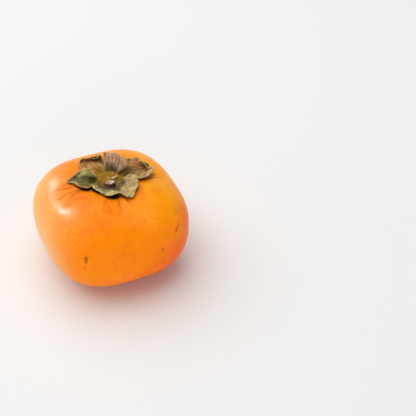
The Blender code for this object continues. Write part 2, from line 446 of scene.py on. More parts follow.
def mix_colours(tree, share, first, second, blend="MIX"):
    """A mix of two colours; each may be a colour or a Flow."""
    node = add_node(tree, "ShaderNodeMix", data_type="RGBA", blend_type=blend, clamp_factor=True)
    feed(tree, node.inputs["Factor"], share)
    for slot, colour in ((MIX_FIRST, first), (MIX_SECOND, second)):
        feed(tree, node.inputs[slot], colour if isinstance(colour, Flow) else (*colour, 1.0))
    return out(node, MIX_RESULT)


def paint(tree, colour, layers):
    """Lays colours over one another; a layer has its share, its colour and sometimes a blend."""
    for share, shade, *blend in layers:
        colour = mix_colours(tree, share, colour, shade, *blend)
    return colour


def add_bump(tree, shader, height, distance):
    """A Bump node from a height to the shader's Normal."""
    bump = add_node(tree, "ShaderNodeBump", {"Height": height, "Distance": distance})
    tree.links.new(bump.outputs["Normal"], shader.inputs["Normal"])


def attribute(tree, name, output="Fac"):
    """An attribute of the piece, as a Flow."""
    return out(add_node(tree, "ShaderNodeAttribute", attribute_name=name), output)


# %% [markdown]
# ## The skin
# Ripe kaki skin is a saturated orange, yellower on the shoulders. Low down on the right it is
# redder, which is partly its own colour and partly painted shade. It is half glossy under a thin
# wax, so it has a soft broad shine and a fine grain of pores. Where the wax is thick it shows as a
# pale dusty bloom. On the left side a painted sheen makes the skin paler where it turns away from
# the eye, in place of a reflection, and the valleys of the puckers are darkened with painted shade.
# The real skin also carries a few brown cracks beside the calyx, where it was stretched, and small
# scabs on its sides. Light enters the flesh a little way, which is why the shadows stay warm: that
# is the shader's subsurface weight.

# %% The skin's finish
SKIN_ORANGE, SKIN_YELLOW, SKIN_RED_AND_SHADE = (0.98, 0.225, 0.0), (0.98, 0.41, 0.002), (0.86, 0.052, 0.0)
BLOOM_PALE, SHEEN_PALE = (0.98, 0.52, 0.13), (0.98, 0.68, 0.28)
CRACK_BROWN, SCAB_BROWN, UNDER_STAIN_AND_SHADE = (0.30, 0.050, 0.006), (0.27, 0.030, 0.004), (0.035, 0.010, 0.003)
CRACK_LEVELS = 0.034, 0.038

# Each crack is a chain of places on the skin, seen from above, in millimetres. Its half width
# comes first, and it thins out towards the last place. Cracks fade in between two levels, in metres.
CRACKS = [
    (0.30, (-12.9, -2.7), (-16.2, -2.8), (-19.2, -3.4), (-21.8, -4.2), (-25.3, -6.1)),
    (0.26, (-14.5, -3.3), (-16.9, -4.4), (-20.4, -7.0)), (0.22, (-15.4, -4.1), (-17.7, -5.8), (-20.9, -9.8)),
    (0.26, (-18.7, -0.3), (-24.8, -0.4), (-28.4, 0.4)), (0.20, (-20.5, 1.4), (-23.6, 1.2), (-26.5, 1.9)),
    (0.20, (-2.1, -10.2), (-0.5, -12.4), (0.4, -13.8)), (0.34, (2.7, -9.8), (3.7, -12.0), (4.3, -15.4)),
    (0.26, (4.1, -10.6), (4.6, -13.9), (4.7, -16.4)), (0.20, (4.7, -17.7), (4.9, -19.5), (4.5, -21.3)),
    (0.26, (8.1, -12.7), (9.2, -14.7), (10.2, -16.3)), (0.16, (-5.5, -10.3), (-4.6, -13.0), (-4.3, -15.9)),
    (0.40, (16.0, 1.0), (19.0, 3.5), (22.6, 5.2), (28.6, 5.8)), (0.20, (21.3, 9.1), (24.9, 9.3), (28.3, 9.5)),
    (0.22, (15.3, -1.5), (18.8, -0.3), (21.9, 1.3)), (0.26, (-3.0, 18.5), (-4.2, 22.0), (-5.0, 26.0)),
    (0.22, (8.0, 17.5), (9.4, 21.0), (11.0, 25.0)), (0.20, (-10.0, 19.0), (-13.0, 22.5), (-15.5, 24.0)),
]
# A scab has its two ends in the round, its half width and how dark it is.
SCABS = [
    ((-13.0, -36.8, 32.3), (-13.4, -37.2, 30.0), 1.05, 0.70),
    ((-13.9, -37.3, 27.2), (-14.0, -37.3, 26.6), 0.35, 0.70),
    ((30.7, -24.0, 34.3), (32.4, -21.0, 36.0), 0.85, 0.55),
    ((23.6, -30.7, 28.9), (23.6, -30.7, 28.2), 0.85, 0.55),
    ((-21.8, -32.9, 28.2), (-21.7, -33.0, 27.9), 0.35, 0.60),
    ((-20.0, -34.0, 21.7), (-19.9, -34.0, 21.5), 0.30, 0.60),
    ((-12.4, -29.9, 42.6), (-12.3, -30.1, 42.3), 0.35, 0.45),
    ((-9.4, -36.5, 15.5), (-9.2, -36.5, 15.3), 0.30, 0.50),
    ((20.0, 33.0, 22.0), (21.5, 32.0, 20.0), 0.60, 0.60),
    ((-30.0, 22.0, 30.0), (-30.6, 21.0, 28.6), 0.50, 0.60),
    ((-34.5, -12.0, 24.0), (-34.6, -11.0, 23.0), 0.40, 0.50),
    ((6.0, 37.0, 30.0), (6.5, 37.0, 29.0), 0.45, 0.50),
]
# Where dust lies thickest: a place in millimetres and how far the patch reaches.
DUSTY = [((-18.5, -29.0, 40.0), 13.0), ((17.4, -24.7, 43.0), 9.0), ((20.0, 22.0, 42.0), 14.0)]


def wandered(tree, place, scale, reach):
    """The same place, pushed aside by a little noise, so that lines on the skin aren't straight."""
    wobble = add_node(tree, "ShaderNodeTexNoise", {"Vector": place, "Scale": scale, "Detail": 2.0})
    centred = vectors(tree, "SUBTRACT", out(wobble, "Color"), (0.5, 0.5, 0.5))
    return vectors(tree, "ADD", place, vectors(tree, "SCALE", centred, reach))


def strongest(masks):
    """The highest of several masks at each place."""
    return functools.reduce(lambda one, other: one.math("MAXIMUM", other), masks)


def crack_mask(tree, place):
    """All cracks in one mask; they're measured from above and kept to the top of the fruit."""
    x, y, z = split(tree, place)
    flat = wandered(tree, join(tree, x, y, 0.0), 220.0, 1.1 * MM)
    lines = []
    for half_width, *chain in CRACKS:
        widths = [half_width * (1.0 - 0.75 * step / (len(chain) - 1)) * MM for step in range(len(chain))]
        for start, end, first, last in zip(chain, chain[1:], widths, widths[1:]):
            values = {"Vector": flat, "From": Vector((*start, 0.0)) * MM, "To": Vector((*end, 0.0)) * MM,
                      "From Width": first, "To Width": last}
            lines.append(use_group(tree, SKIN_LINE, values))
    return strongest(lines) * z.step(*CRACK_LEVELS)


def scab_mask(tree, place):
    """All scabs in one mask, with a ragged edge."""
    rugged = wandered(tree, place, 620.0, 1.9 * MM)
    spots = []
    for start, end, half_width, darkness in SCABS:
        values = {"Vector": rugged, "From": Vector(start) * MM, "To": Vector(end) * MM,
                  "From Width": half_width * MM, "To Width": 0.7 * half_width * MM}
        spots.append(use_group(tree, SKIN_LINE, values) * darkness)
    return strongest(spots)


def dust_mask(tree, place):
    """Round patches that fade out, where the pale bloom is thickest."""
    return strongest([
        vectors(tree, "DISTANCE", place, Vector(centre) * MM, "Value").step(reach * MM, 0.3 * reach * MM)
        for centre, reach in DUSTY])


def skin_finish():
    material, tree, shader = new_finish(
        "ripe_kaki_skin", Subsurface_Weight=0.22, Subsurface_Radius=(1.0, 0.28, 0.06),
        Subsurface_Scale=0.0035, Specular_IOR_Level=0.11,
    )
    place = object_place(tree)
    x, y, z = split(tree, place)
    broad = noise_at(tree, place, 26.0, 3.0, 0.45)
    patchy = (broad - 0.5) * 1.4
    mottle = blotches(tree, place, 150.0, 700.0, 0.45)
    # Where the skin is yellower and redder follows the place on the fruit, in metres.
    yellow = (x * 14.0 + y * 10.0 + z * 30.0 - 1.05 + patchy * 0.7).step(-0.1, 0.9)
    # The red low down on the right is partly the skin's own colour and partly painted shade.
    red_and_shade = (x * 26.0 - z * 24.0 + 0.35 + patchy).step(0.1, 1.0)
    spread = noise_at(tree, place, 90.0, 3.0, 0.6)
    pores = add_node(tree, "ShaderNodeTexVoronoi", {"Vector": place, "Scale": 800.0, "Randomness": 0.85})
    pore = out(pores, "Distance").step(0.32, 0.05)
    dust = dust_mask(tree, place)
    bloom = noise_at(tree, place, 55.0, 4.0, 0.62).step(0.5, 0.72)
    speckle = pore * (bloom * 0.14 + dust * 0.80 + 0.02)
    # Painted sheen: the left side is paler, most where the skin turns away from the eye, in place of a
    # reflection.
    sheen_side = (patchy * 0.004 - x).step(0.016, 0.035)
    facing = out(add_node(tree, "ShaderNodeLayerWeight", {"Blend": 0.5}), "Facing")
    crack, scab = crack_mask(tree, place), scab_mask(tree, place)
    colour = paint(tree, SKIN_ORANGE, [
        (yellow * 0.7, SKIN_YELLOW), (red_and_shade * 0.76, SKIN_RED_AND_SHADE), (mottle * 0.22, SKIN_YELLOW),
        (spread.step(0.52, 0.70) * 0.20, SKIN_RED_AND_SHADE),
        (speckle + bloom * 0.03 + dust * 0.05, BLOOM_PALE), (sheen_side * (facing * 0.58 + 0.10), SHEEN_PALE),
        # Painted shade: the pucker valleys are darkened towards the deep red.
        (attribute(tree, "pucker") * 0.28, SKIN_RED_AND_SHADE), (crack * (broad * 0.7 + 0.22), CRACK_BROWN),
        # The last layer is the stain under the sepals with its painted shade.
        (scab * (mottle * 0.4 + 0.6), SCAB_BROWN), (attribute(tree, "under"), UNDER_STAIN_AND_SHADE),
    ])
    feed(tree, shader.inputs["Base Color"], colour)
    feed(tree, shader.inputs["Roughness"], bloom * 0.10 + mottle * 0.07 + crack * 0.2 + scab * 0.3 + 0.30)
    height = noise_at(tree, place, 1300.0) * 0.35 - pore * 0.5 - crack * 3.0 + scab * 1.5
    add_bump(tree, shader, height, 0.06 * MM)
    return material


# %% Make the fruit
kaki = add_object("kaki_fruit", bpy.data.meshes.new("kaki_fruit"))
shape = kaki.modifiers.new("kaki_shape", "NODES")
shape.node_group = fruit_tree(skin_finish())
set_inputs(shape, {**SKIN, "Grid Points": GRID_POINTS})
freeze(kaki)
print("fruit:", len(kaki.data.vertices), "points,", len(kaki.data.polygons), "faces")
low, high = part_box("fruit")
made = np.array([vertex.co for vertex in kaki.data.vertices])
print("frame box", [round(v / MM, 1) for v in (*low, *high)])
print("fruit box", [round(float(v) / MM, 1) for v in (*made.min(0), *made.max(0))])


# %% [markdown]
# ## Laying things on the skin
# The dry calyx follows the skin under it, so every piece of it has to know how high the skin is
# at a place. A search tree of the fruit's faces answers that by dropping a ray from above.

# %% How high the skin is
skin_mesh = bmesh.new()
skin_mesh.from_mesh(kaki.data)
skin_tree = BVHTree.FromBMesh(skin_mesh)
skin_mesh.free()


def skin_height(x, y):
    """The height of the skin under each place, for arrays of x and y in metres."""
    down = Vector((0.0, 0.0, -1.0))
    return np.array([skin_tree.ray_cast(Vector((a, b, 0.2)), down)[0].z for a, b in zip(x, y)])


print("skin at the middle:", round(float(skin_height([0.0], [0.0])[0]) / MM, 2), "mm")

# %% [markdown]
# ## The calyx: five dry sepals
# The calyx of a persimmon stays on the fruit. Its sepals grow out of one fused middle, and as
# they dry they pale along their edges, fold along their veins, curl at their tips and lift off
# the skin. A flat leaf shape would look cut out of card, so each sepal is a fine grid that is bent
# by a rule: the grid's columns fan out from the middle to a rim, the rim lifts off the skin, and
# its last stretch can roll up. The two side edges can fold over inwards as well. Pleats, a wavy
# edge and wrinkles are added on top.
#
# A rim is a short list of points: heading, reach from the calyx's middle, lift above the skin, and
# how far the edge rolls. Headings and rolls are in degrees, and lengths are in millimetres. The lift
# grows along the sepal as a power of the way, which is its rise. The roll starts at the share of the
# way called turned, the two sides fold over by their own angles, and dish is how deep the whole
# blade sags.

# %% The five sepals
CALYX_MIDDLE = Vector((0.3, 2.5)) * MM
BASE_REACH = 4.6
SKIN_CLEARANCE = 0.95
LOWEST_RISE = -0.14
SEPAL_THICKNESS = 0.34 * MM
SIDE_SHARE = 0.26

# The ridge green is painted light: the pale lit top of the left sepal's folded margin.
GREY_GREEN, LIT_RIDGE_GREEN, KHAKI = (0.74, 0.69, 0.30), (1.0, 0.95, 0.42), (0.84, 0.59, 0.27)
PURPLE_GREY, ROSE_BROWN, OLIVE = (0.88, 0.53, 0.36), (0.98, 0.46, 0.18), (0.36, 0.27, 0.010)
GOLD_OLIVE, DARK_OLIVE, BURNT = (0.42, 0.24, 0.002), (0.15, 0.11, 0.012), (0.014, 0.010, 0.008)
NEAR_STUB_BROWN, TAN_EDGE = (0.20, 0.115, 0.052), (0.80, 0.58, 0.25)

# A sepal's base is the two headings between which it leaves the middle, and its burnt headings are
# those where the edge is black. Crease is how much painted shade darkens its pleat valleys. Each
# hollow is a place across, its half width, where it begins and ends along the sepal, how much
# painted shade darkens it, and its depth in millimetres (below zero for a swelling).
SEPALS = {
    "sepal_front": dict(
        base=(-164, -4), rise=0.95, pleats=9, pleat_depth=0.16, wave=0.30, seed=1.0, turned=0.62,
        core=NEAR_STUB_BROWN, inner=NEAR_STUB_BROWN, first=GREY_GREEN, last=KHAKI, burnt=(),
        crease=0.35, dish=0.0, sides=(20, 40),
        hollows=((0.50, 0.16, -0.10, 0.40, 0.45, -0.55), (0.78, 0.035, 0.30, 0.80, 0.40, 0.25),
                 (0.30, 0.03, 0.35, 0.80, 0.30, 0.15)),
        rim=((-164, 7.4, 1.2, 0), (-150, 9.4, 1.9, 20), (-130, 10.4, 1.7, 15), (-110, 11.6, 1.5, 10),
             (-93, 13.7, 1.6, 0), (-80, 13.9, 2.5, 10), (-68, 14.2, 2.6, 10), (-57.5, 19.2, 1.0, -10),
             (-45, 17.6, 1.4, 0), (-33, 16.6, 2.0, 10), (-22, 15.4, 2.8, 15), (-13, 13.4, 3.3, 20),
             (-5, 10.0, 3.0, 20)),
    ),
    "sepal_right": dict(
        base=(-5, 42), rise=1.2, pleats=5, pleat_depth=0.35, wave=0.45, seed=2.0, turned=0.70,
        inner=DARK_OLIVE, first=KHAKI, last=ROSE_BROWN, burnt=(23.0,),
        crease=0.28, dish=0.5, sides=(0, 50),
        hollows=((0.93, 0.22, -0.2, 0.48, 0.95, 0.6), (0.36, 0.07, 0.25, 0.60, 0.50, 0.5),
                 (0.62, 0.06, 0.15, 0.60, 0.40, 0.4), (0.70, 0.12, 0.70, 0.82, 0.35, 0.3)),
        rim=((-7, 12.0, 1.2, 0), (-9.5, 14.6, 1.4, -10), (-6, 17.8, 1.8, -10), (2, 20.2, 2.2, 10),
             (9, 22.2, 3.4, 30), (14.5, 23.2, 3.8, 40), (19, 20.6, 2.2, 120), (24, 22.0, 3.2, 190),
             (30, 20.2, 3.2, 200), (36, 18.6, 3.0, 120), (41, 16.0, 3.0, 40), (44, 12.6, 2.8, 20)),
    ),
    "sepal_back": dict(
        base=(38, 97), rise=0.95, pleats=9, pleat_depth=0.60, wave=0.30, seed=3.0, turned=0.62,
        inner=DARK_OLIVE, first=PURPLE_GREY, last=PURPLE_GREY, burnt=(97.0,),
        crease=0.68, dish=0.9, sides=(120, 0),
        hollows=((0.5, 0.45, 0.10, 0.40, 0.50, 0.2), (0.16, 0.05, 0.1, 0.8, 0.6, 0.4)),
        rim=((42, 8.0, 1.6, 60), (36, 11.4, 2.6, 80), (42, 12.6, 3.6, 60), (52, 13.0, 4.4, 35),
             (62, 12.8, 4.9, 20), (72, 13.2, 5.2, 10), (82, 14.0, 5.0, 0), (90, 14.8, 4.6, 0),
             (96, 15.3, 4.2, -20), (98, 13.0, 3.0, 0)),
    ),
    "sepal_back_left": dict(
        base=(97, 154), rise=1.4, pleats=5, pleat_depth=0.18, wave=0.40, seed=4.0, turned=0.66,
        inner=GOLD_OLIVE, first=ROSE_BROWN, last=ROSE_BROWN, burnt=(102.0, 109.0),
        crease=0.18, dish=0.5, sides=(0, 30),
        hollows=((0.18, 0.16, 0.62, 0.76, 0.75, 0.3), (0.62, 0.22, 0.68, 0.80, 0.35, 0.3),
                 (0.04, 0.05, 0.10, 0.70, 0.60, 0.2)),
        rim=((98.5, 12.6, 1.4, 30), (100, 15.6, 2.4, 100), (104, 18.4, 3.2, 190), (110, 19.2, 2.8, 220),
             (117, 19.4, 2.0, 180), (125, 19.2, 1.6, 140), (133, 18.8, 1.5, 100), (140, 18.2, 1.3, 50),
             (148, 16.2, 1.0, 20), (155, 13.6, 1.0, 20)),
    ),
    "sepal_left": dict(
        base=(153, 198), rise=1.2, pleats=4, pleat_depth=0.20, wave=0.30, seed=5.0, turned=0.72,
        core=OLIVE, inner=OLIVE, first=LIT_RIDGE_GREEN, last=OLIVE, burnt=(181.0, 169.0, 175.0),
        crease=0.30, dish=0.7, sides=(130, 20),
        hollows=((0.29, 0.15, 0.14, 0.66, 0.98, 1.5), (0.52, 0.24, 0.1, 0.78, 0.72, 0.3)),
        rim=((156, 8.6, 2.6, 20), (160, 11.6, 3.4, 30), (166, 14.6, 2.5, 40), (173, 16.8, 1.6, 30),
             (180.5, 20.2, 0.9, 0), (188, 17.0, 1.0, 10), (196, 15.2, 1.4, 30),
             (204, 13.2, 1.5, 40), (209.5, 11.6, 1.5, 30), (203, 9.4, 1.5, 10)),
    ),
}
print(len(SEPALS), "sepals")


# %% Curves and noise for the fans
def through(points, shares):
    """Points at these shares of the way along a smooth curve through the given points."""
    knots = np.array(points, float)
    knots = np.vstack([2 * knots[0] - knots[1], knots, 2 * knots[-1] - knots[-2]])
    spans = len(knots) - 3
    index = np.minimum((shares * spans).astype(int), spans - 1)
    t = (shares * spans - index)[:, None]
    a, b, c, d = (knots[index + step] for step in range(4))
    return b + 0.5 * t * ((c - a) + t * ((2 * a - 5 * b + 4 * c - d) + t * (3 * (b - c) + d - a)))


def rough(seed, *coordinates):
    """Smooth noise from -1 to 1 at each set of coordinates."""
    spots = np.broadcast_arrays(*coordinates, 0.0, 0.0)[:3]
    return np.array([noise.noise((x + 17.3 * seed, y - 9.1 * seed, z)) for x, y, z in zip(*spots)])


def soft(values, low, high):
    """A smooth rise from 0 at low to 1 at high."""
    t = np.clip((values - low) / (high - low), 0.0, 1.0)
    return t * t * (3.0 - 2.0 * t)


def curl(share, length, degrees):
    """How far a strip moves back and up when it bends on a circle instead of lying flat."""
    bend = np.radians(degrees)
    bend = np.where(np.abs(bend) < 0.02, 0.02, bend)
    back = length * (share - np.sin(bend * share) / bend)
    return back, length * (1.0 - np.cos(bend * share)) / bend


def hollow_share(hollow, across, along):
    """How much of a hollow there is at each point: 1 in its middle and 0 away from it."""
    middle, half_width, begins, ends = hollow[:4]
    inside = soft(along, begins - 0.1, begins) * soft(-along, -ends - 0.14, -ends)
    return np.exp(-(((across - middle) / half_width) ** 2)) * inside


# %% Bending one sepal
def sepal_surface(sepal, across, along):
    """Points of the sepal's top surface, and how deep each lies in a pleat."""
    seed, turned = sepal["seed"], sepal["turned"]
    heading, reach, lift, roll = through(sepal["rim"], across).T
    reach = reach * (1.0 + 0.018 * rough(seed, across * 26.0) + 0.012 * rough(seed + 9, across * 70.0))
    base_from, base_to = sepal["base"]
    base_heading = base_from + (base_to - base_from) * across
    turn = np.radians(base_heading + (heading - base_heading) * along**0.8)
    turn += 0.020 * rough(seed + 3, across * 5.0, along * 4.0) * along
    # The blade is cut long enough that its outermost part still ends at the rim when it is rolled.
    half_turn = np.clip(np.radians(np.abs(roll)), 0.02, None)
    shown = np.sin(np.minimum(half_turn, np.pi / 2)) / half_turn
    blade_length = (reach - BASE_REACH) / (turned + (1.0 - turned) * shown)
    last = blade_length * (1.0 - turned)
    t = np.clip((along - turned) / (1.0 - turned), 0.0, 1.0)
    back, up = curl(t, last, roll)
    lifted = lift - curl(np.ones_like(t), last, np.clip(roll, -90, 90))[1]
    radius = BASE_REACH + blade_length * along - back
    rise = lifted * along ** sepal["rise"] + up
    # A side edge that folds over moves towards the sepal's own middle line and up.
    sides = zip((across, 1.0 - across), (1, -1), (0.35, 0.5), sepal["sides"])
    for share, inwards, lifting, degrees in sides:
        t = np.clip((SIDE_SHARE - share) / SIDE_SHARE, 0.0, 1.0)
        length = SIDE_SHARE * np.radians(abs(base_to - base_from)) * radius
        back, up = curl(t, length, degrees * soft(along, 0.05, 0.5))
        turn += inwards * back / radius
        rise += up * lifting
    phase = across * sepal["pleats"] + 0.25 * rough(seed + 5, across * 3.0, along * 1.5)
    pleat = 0.5 - 0.5 * np.cos(2.0 * np.pi * phase)
    fold = pleat * soft(along, 0.08, 0.35) * (1.0 - 0.7 * soft(along, 0.5, 1.0))
    rise -= sepal["pleat_depth"] * fold
    rise -= sepal["dish"] * np.sin(np.pi * np.clip(along, 0, 1)) * np.sin(np.pi * across)
    rise += sepal["wave"] * rough(seed + 7, across * 7.0, along * 1.2) * along**2
    rise += 0.20 * rough(seed + 11, across * 13.0, along * 8.0) * soft(along, 0.05, 0.3)
    rise += 0.06 * rough(seed + 12, across * 36.0, along * 20.0) * soft(along, 0.05, 0.3)
    rise -= sum(hollow[5] * hollow_share(hollow, across, along) for hollow in sepal["hollows"])
    x = CALYX_MIDDLE.x + np.cos(turn) * radius * MM
    y = CALYX_MIDDLE.y + np.sin(turn) * radius * MM
    # A soft limit keeps the sheet clear of the skin without a crease where it comes near.
    above = np.log1p(np.exp((rise - 0.05) * 5.0)) / 5.0
    z = skin_height(x, y) + (SKIN_CLEARANCE + LOWEST_RISE + above) * MM
    return np.column_stack([x, y, z]), fold


def sepal_tint(sepal, across, along, fold):
    """The colour of each point of a sepal, from its middle to its edge, with painted shade in its pleat
    valleys and hollows.
    """
    seed = sepal["seed"]
    stain = rough(seed + 13, across * 6.0, along * 4.0)
    side = soft(across + 0.12 * stain, 0.15, 0.85)[:, None]
    outer = np.array(sepal["first"]) * (1 - side) + np.array(sepal["last"]) * side
    inward = soft(along + 0.10 * stain, 0.02, 0.34)[:, None]
    middle = np.array(sepal.get("core", GOLD_OLIVE)) * (1 - inward) + np.array(sepal["inner"]) * inward
    grown = soft(along + 0.16 * stain, 0.20, 0.58)[:, None]
    tint = middle * (1 - grown) + outer * grown
    # Painted shade: the pleat valleys and the hollows are darkened.
    tint = tint * (1.0 - sepal["crease"] * fold[:, None])
    for hollow in sepal["hollows"]:
        tint = tint * (1.0 - hollow[4] * hollow_share(hollow, across, along)[:, None])
    heading = through(sepal["rim"], across)[:, 0]
    for burnt in sepal["burnt"]:
        near = np.exp(-(((heading - burnt) / 3.2) ** 2)) * soft(along + 0.1 * stain, 0.72, 0.92)
        tint = tint * (1 - near[:, None]) + np.array(BURNT) * near[:, None]
    return np.clip(tint, 0.0, 1.0)


def store(mesh, name, values):
    """Stores a value or a colour on each point of a mesh."""
    kind, field = ("FLOAT_COLOR", "color") if values.ndim == 2 else ("FLOAT", "value")
    if values.ndim == 2:
        values = np.column_stack([values, np.ones(len(values))])
    mesh.attributes.new(name, kind, "POINT").data.foreach_set(field, values.ravel().astype(np.float32))


def sheet_object(name, points, columns, rows, across, along, tint, thickness, material):
    """A grid of points as a mesh with its tint, its fan map and a thickness below it."""
    faces = []
    for row in range(rows - 1):
        for column in range(columns - 1):
            corner = row * columns + column
            faces.append((corner, corner + columns, corner + columns + 1, corner + 1))
    mesh = bpy.data.meshes.new(name)
    mesh.from_pydata([tuple(point) for point in points], [], faces)
    mesh.materials.append(material)
    store(mesh, "tint", tint)
    store(mesh, "outward", along)
    # The margin runs round all free edges, so it also rises towards the two sides.
    beside = 1.0 - np.minimum(across, 1.0 - across) / 0.6
    store(mesh, "margin", np.maximum(along, beside * soft(along, 0.3, 0.5)))
    fan = mesh.uv_layers.new(name="fan")
    spots = np.column_stack([across, along])
    fan.uv.foreach_set("vector", spots[[loop.vertex_index for loop in mesh.loops]].ravel().astype(np.float32))
    obj = add_object(name, mesh)
    shell = obj.modifiers.new("thickness", "SOLIDIFY")
    shell.thickness = thickness
    shell.offset = -1.0
    mesh.shade_smooth()
    return freeze(obj)


# %% [markdown]
# ## The finish of dry calyx
# A dried sepal is papery: fine pale veins fan out along it, the blade between them is blotched
# from green through olive to a purplish brown, the edge is bleached to tan, and small dark specks
# of mould and scars lie on it. The veins follow the sepal and not the room, so they read the map
# that was stored with the grid; its first direction runs across the fan and its second along it.

# %% Veins as a shared group
def vein_group():
    inputs = {"Fan": (VECTOR, None), "Count": (FLOAT, 34.0), "Place": (VECTOR, None)}
    tree, given, result = new_group("fan_veins", "ShaderNodeTree", inputs, {"Vein": FLOAT, "Fibre": FLOAT})
    across, along, _ = split(tree, given["Fan"])
    wander = noise_at(tree, given["Place"], 260.0)
    lane = (across + (wander - 0.5) * 0.06) * given["Count"]
    line = (lane.math("FRACT") - 0.5).math("ABSOLUTE") * 2.0
    values = {"Vector": given["Place"], "Scale": 900.0}
    branch = add_node(tree, "ShaderNodeTexVoronoi", values, feature="DISTANCE_TO_EDGE")
    net = out(branch, "Distance").step(0.14, 0.02)
    fibre = noise_at(tree, join(tree, across * 70.0, along * 7.0, 0.0), 1.0, 4.0, 0.6)
    vein = line.step(0.70, 1.0).math("MAXIMUM", net * 0.45) * along.step(0.10, 0.30)
    feed(tree, result.inputs["Vein"], vein)
    feed(tree, result.inputs["Fibre"], fibre)
    return tree


FAN_VEINS = vein_group()
# What the tint is multiplied by where a patch is greener, redder or darker, and on dark fibres
# and pale flecks.
GREENER, REDDER, DARKER = (0.62, 0.90, 0.40), (0.95, 0.62, 0.45), (0.48, 0.40, 0.30)
FIBRE_DARK, FLECK_GAIN = (0.30, 0.25, 0.20), (1.85, 1.78, 1.65)


def calyx_finish(name, veined):
    """The papery finish; veined says how strongly the fan's veins show."""
    material, tree, shader = new_finish(name, Specular_IOR_Level=0.10)
    place = object_place(tree)
    fan = out(add_node(tree, "ShaderNodeUVMap", uv_map="fan"))
    veins = tree.nodes.new("ShaderNodeGroup")
    veins.node_tree = FAN_VEINS
    feed(tree, veins.inputs["Fan"], fan)
    feed(tree, veins.inputs["Place"], place)
    vein, fibre = out(veins, "Vein"), out(veins, "Fibre")
    blotch = blotches(tree, place, 420.0, 1500.0, 0.45)
    patch = noise_at(tree, place, 300.0, 3.0, 0.6)
    outward = attribute(tree, "outward")
    margin = attribute(tree, "margin")
    edge = (margin + (fibre - 0.5) * 0.05).step(0.96, 0.99) * patch.step(0.34, 0.50)
    char = (margin + (patch - 0.5) * 0.5).step(0.93, 1.0) * patch.step(0.57, 0.63)
    colour = paint(tree, attribute(tree, "tint", "Color"), [
        (patch.step(0.50, 0.66) * 0.55, GREENER, "MULTIPLY"),
        (patch.step(0.50, 0.34) * 0.55, REDDER, "MULTIPLY"), (blotch * 0.85, DARKER, "MULTIPLY"),
        (fibre.step(0.50, 0.74) * 0.22, TAN_EDGE), (fibre.step(0.50, 0.30) * 0.60, FIBRE_DARK, "MULTIPLY"),
        (vein * outward.step(0.2, 0.7) * (0.48 * veined), TAN_EDGE),
        (noise_at(tree, place, 1300.0, 3.0, 0.7).step(0.50, 0.66) * 0.50, FLECK_GAIN, "MULTIPLY"),
        (noise_at(tree, place, 1900.0, 1.0).step(0.64, 0.70) * 0.75, BURNT),
        (edge * (0.6 * veined), TAN_EDGE), (char * (0.75 * veined), BURNT),
    ])
    feed(tree, shader.inputs["Base Color"], colour)
    feed(tree, shader.inputs["Roughness"], blotch * 0.2 + 0.58)
    add_bump(tree, shader, vein * 0.9 * veined + fibre * 1.3 * veined + blotch * 0.5, 0.00026)
    return material


# %% Make the sepals
SEPAL_COLUMNS, SEPAL_ROWS = 97, 64
blade = calyx_finish("dry_sepal_blade", 1.0)
sepals = {}
for sepal_name, sepal in SEPALS.items():
    grid_along, grid_across = np.meshgrid(
        np.linspace(0.0, 1.0, SEPAL_ROWS), np.linspace(0.0, 1.0, SEPAL_COLUMNS), indexing="ij")
    grid_along, grid_across = grid_along.ravel(), grid_across.ravel()
    spots, fold = sepal_surface(sepal, grid_across, grid_along)
    tint = sepal_tint(sepal, grid_across, grid_along, fold)
    piece = sheet_object("dry_" + sepal_name, spots, SEPAL_COLUMNS, SEPAL_ROWS, grid_across, grid_along,
                         tint, SEPAL_THICKNESS, blade)
    sepals[sepal_name] = piece
    size = np.ptp(spots, axis=0) / MM
    print(piece.name, "is", " x ".join(f"{value:.1f}" for value in size), "mm")

# %% [markdown]
# ## The stain and painted shade under the calyx
# The skin that the calyx covers stays dark and damp. It is darkened further with painted shade
# where the calyx stands open towards the front, for the shadow in the gap under the sepals. Each
# point of the fruit under a sepal gets a value for it, which is then spread a little to its
# neighbours, so that a thin dark line shows along the sepals' near edges.

# %% Stain and shade the skin under the sepals
# The headings where the calyx stands open and its shadow shows, each with how wide it is; the painted shade
# is darkest there.
OPEN_SIDES = ((210.0, 26.0), (277.0, 14.0))
CALYX_LEVEL, CALYX_REACH = 35 * MM, 25 * MM
STAIN_AND_SHADE_SPREADS = 4
sepal_trees = []
for piece in sepals.values():
    sheet = bmesh.new()
    sheet.from_mesh(piece.data)
    sepal_trees.append((BVHTree.FromBMesh(sheet), piece.data))
    sheet.free()


def stain_and_shade(spot):
    """How dark the skin is at a place: up to 1 under a sepal and 0 in the open. Under every sepal there is a
    stain, and painted shade adds to it where the calyx stands open.
    """
    off = spot.xy - CALYX_MIDDLE
    if spot.z < CALYX_LEVEL or off.length > CALYX_REACH:
        return 0.0
    heading = math.degrees(math.atan2(off.y, off.x)) % 360.0
    nearest = max(math.exp(-(((heading - middle) / width) ** 2)) for middle, width in OPEN_SIDES)
    covered = any(tree.ray_cast(spot, Vector((0.0, 0.0, 1.0)))[0] for tree, _ in sepal_trees)
    # A faint stain under every sepal, with painted shade up to full darkness where the calyx stands open.
    return 0.35 + 0.65 * nearest if covered else 0.0


under = np.array([stain_and_shade(vertex.co) for vertex in kaki.data.vertices])
edges = np.empty(len(kaki.data.edges) * 2, dtype=np.int64)
kaki.data.edges.foreach_get("vertices", edges)
edges = edges.reshape(-1, 2)
for _ in range(STAIN_AND_SHADE_SPREADS):
    total, count = under.copy(), np.ones(len(under))
    for one, other in ((0, 1), (1, 0)):
        np.add.at(total, edges[:, one], under[edges[:, other]])
        np.add.at(count, edges[:, one], 1.0)
    under = np.minimum(1.1 * total / count, 1.0)
store(kaki.data, "under", under)
print("skin points under the calyx:", int((under > 0.5).sum()))

